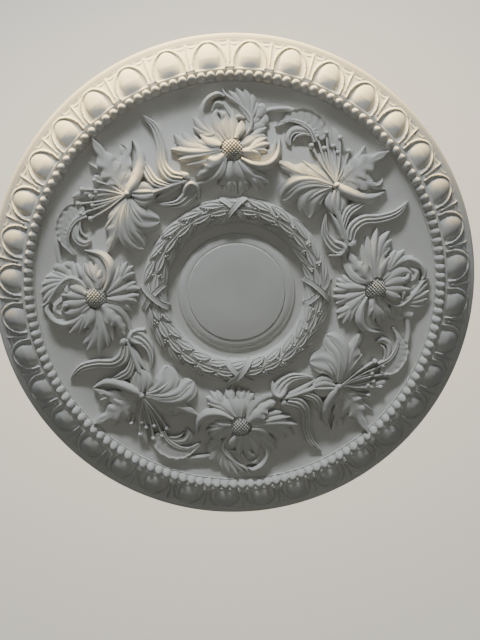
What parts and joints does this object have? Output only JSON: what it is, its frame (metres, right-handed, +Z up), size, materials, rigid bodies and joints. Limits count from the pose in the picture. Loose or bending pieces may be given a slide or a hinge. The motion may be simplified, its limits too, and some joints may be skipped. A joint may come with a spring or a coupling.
{
  "type": "ceiling rose",
  "caption": "Round cast plaster ceiling rose with an egg-and-dart rim, a bead row, a ring of carved flowers and leaves, and a laurel wreath round a plain centre disc.",
  "frame": {"origin": "centre of the flat back, on the plane of the ceiling that it is fixed to", "axes": "+Z up into the ceiling, so the carved face looks down towards -Z; +Y points from the centre through one of the four daisies"},
  "size_m": [0.513, 0.513, 0.0431],
  "materials": {
    "plaster": "matte"
  },
  "bodies": {
    "root": {"ceiling_rose": "plaster"}
  },
  "joints": []
}
